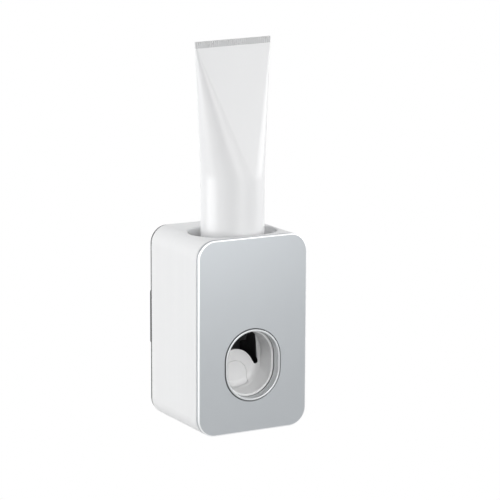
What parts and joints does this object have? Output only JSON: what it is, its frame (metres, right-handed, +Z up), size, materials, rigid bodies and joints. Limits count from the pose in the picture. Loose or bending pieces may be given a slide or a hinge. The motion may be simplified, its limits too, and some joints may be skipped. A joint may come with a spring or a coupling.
{
  "type": "toothpaste dispenser",
  "caption": "Wall-hung toothpaste dispenser with a push-in brush cup, a pull-off front cover and an upright toothpaste tube standing in its top well.",
  "frame": {"origin": "centre of the adhesive pad's back face, on the wall", "axes": "+Y into the wall, the front faces -Y, +Z up, +X to the right as seen from the front"},
  "size_m": [0.065, 0.0609, 0.2066],
  "materials": {
    "shell_white": "glossy",
    "cup_white": "satin",
    "silver_face": "satin",
    "chrome_ring": "polished",
    "pump_black": "matte",
    "graphite": "satin",
    "foam": "matte",
    "steel": "satin",
    "silicone": "satin",
    "dark_silicone": "satin",
    "tube_white": "satin",
    "tube_plastic": "satin",
    "paste": "glossy"
  },
  "bodies": {
    "wall_mount": {"wall_plate": "graphite", "adhesive_pad": "foam"},
    "housing": {"outer_shell": "shell_white", "back_cover": "graphite", "back_screws": "steel", "cartridge_frame": "pump_black", "cartridge_screws": "steel", "hinge_pins": "steel", "duct_body": "pump_black", "duct_lid": "pump_black", "duct_screws": "steel", "tube_socket": "silicone", "socket_ring": "pump_black", "outlet_valve": "dark_silicone", "nozzle_cap": "pump_black", "bellows": "dark_silicone", "bellows_ring": "pump_black", "return_spring": "steel"},
    "lever": {"push_lever": "cup_white", "push_pad": "cup_white"},
    "plunger": {"plunger": "pump_black"},
    "flap": {"inlet_flap": "silicone"},
    "front_cover": {"cover_frame": "shell_white", "face_plate": "silver_face", "trim_ring": "chrome_ring"},
    "toothpaste_tube": {"tube_sleeve": "tube_white", "tube_shoulder": "tube_plastic", "paste_fill": "paste"}
  },
  "joints": [
    {"name": "hang_slide", "type": "slide", "parent": "wall_mount", "child": "housing", "axis": [0, 0, 1], "range_m": [0, 0.012]},
    {"name": "cover_pull", "type": "slide", "parent": "housing", "child": "front_cover", "axis": [0, -1, 0], "range_m": [0, 0.02]},
    {"name": "cup_hinge", "type": "hinge", "parent": "housing", "child": "lever", "pos_m": [0, -0.0385, 0.00435], "axis": [1, 0, 0], "range_deg": [0, 13], "stiffness_Nm_per_rad": 0.4, "springref_deg": -5.73},
    {"name": "plunger_slide", "type": "slide", "parent": "housing", "child": "plunger", "axis": [0, 1, 0], "range_m": [0, 0.0069], "deforming": ["bellows", "return_spring"]},
    {"name": "flap_hinge", "type": "hinge", "parent": "housing", "child": "flap", "pos_m": [0, -0.0335, 0.0065], "axis": [1, 0, 0], "range_deg": [0, 15], "stiffness_Nm_per_rad": 0.0005, "springref_deg": -5.73},
    {"name": "tube_lift", "type": "slide", "parent": "housing", "child": "toothpaste_tube", "axis": [0, 0, 1], "range_m": [0, 0.045]}
  ],
  "couplings": [
    {"joint": "plunger_slide", "follows": "cup_hinge", "m_per_rad": 0.0298}
  ]
}
